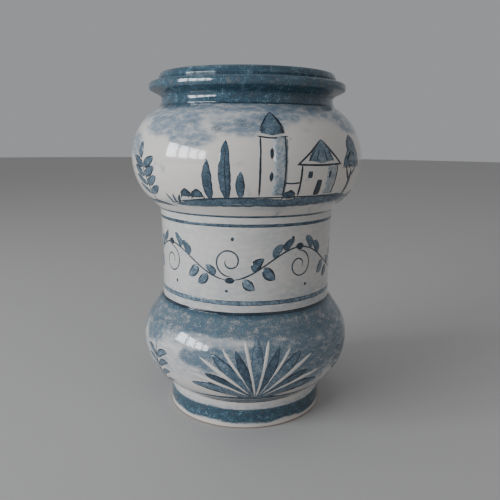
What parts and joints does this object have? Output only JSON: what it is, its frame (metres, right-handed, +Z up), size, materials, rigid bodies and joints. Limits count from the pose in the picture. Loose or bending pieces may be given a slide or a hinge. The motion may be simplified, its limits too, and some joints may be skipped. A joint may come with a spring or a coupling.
{
  "type": "apothecary jar",
  "caption": "Two-bellied drug jar of tin-glazed earthenware with a pinched waist, moulded rim and turned foot, painted in blue.",
  "frame": {"origin": "centre of the foot's resting face", "axes": "+Z up along the jar's axis of turning, painted front towards -Y"},
  "size_m": [0.136, 0.136, 0.2],
  "materials": {
    "biscuit": "bare fired earthenware",
    "white_glaze": "glossy tin glaze",
    "cobalt_glaze": "glossy glaze sponged with cobalt blue"
  },
  "bodies": {
    "root": {"foot_ring": "biscuit", "floor_disc": "biscuit", "lower_bulb": "biscuit", "waist_sleeve": "biscuit", "upper_bulb": "biscuit", "neck_collar": "biscuit", "rim_ring": "biscuit", "foot_well_glaze": "white_glaze", "foot_glaze": "white_glaze", "lower_bulb_glaze": "white_glaze", "waist_glaze": "white_glaze", "upper_bulb_glaze": "white_glaze", "rim_glaze": "cobalt_glaze", "inside_glaze": "white_glaze"}
  },
  "joints": []
}
